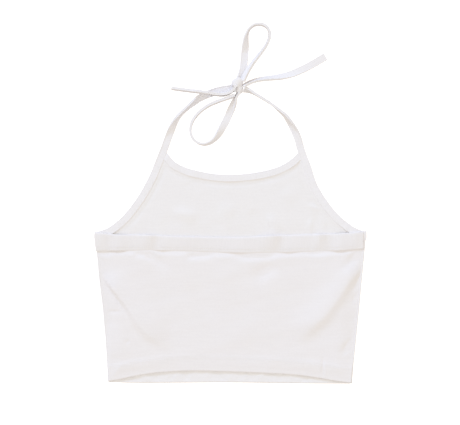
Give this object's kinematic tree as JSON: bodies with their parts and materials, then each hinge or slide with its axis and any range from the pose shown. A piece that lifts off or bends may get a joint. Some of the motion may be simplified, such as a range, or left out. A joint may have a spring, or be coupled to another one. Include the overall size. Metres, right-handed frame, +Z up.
{
  "type": "halter crop top",
  "caption": "White jersey halter-neck crop top laid flat with its back up: elastic top band on the back, bound neckline and armholes that run on as ties knotted in a bow.",
  "frame": {"origin": "centre of the bounding box, on the surface that the garment lies on", "axes": "+X to the right across the garment as it is seen from above, +Y from the hem to the bow, +Z up from the surface to the back of the garment"},
  "size_m": [0.3798, 0.5032, 0.0168],
  "materials": {
    "front_panel_jersey": "matt fine single jersey, inside face up",
    "back_panel_jersey": "matt fine single jersey, outside face up",
    "back_band_jersey": "the same jersey turned over wide elastic, softly gathered",
    "neck_binding_jersey": "the same jersey, folded binding with a stitched inner edge",
    "left_tie_jersey": "the same jersey, flat folded tie",
    "right_tie_jersey": "the same jersey, flat folded tie",
    "upper_loop_jersey": "the same jersey, flat folded tie",
    "lower_loop_jersey": "the same jersey, flat folded tie",
    "left_tail_jersey": "the same jersey, flat folded tie",
    "right_tail_jersey": "the same jersey, flat folded tie",
    "bow_knot_jersey": "the same jersey, flat folded tie"
  },
  "bodies": {
    "root": {"front_panel": "front_panel_jersey", "back_panel": "back_panel_jersey", "back_band": "back_band_jersey", "neck_binding": "neck_binding_jersey", "left_tie": "left_tie_jersey", "right_tie": "right_tie_jersey", "upper_loop": "upper_loop_jersey", "lower_loop": "lower_loop_jersey", "left_tail": "left_tail_jersey", "right_tail": "right_tail_jersey", "bow_knot": "bow_knot_jersey"}
  },
  "joints": []
}
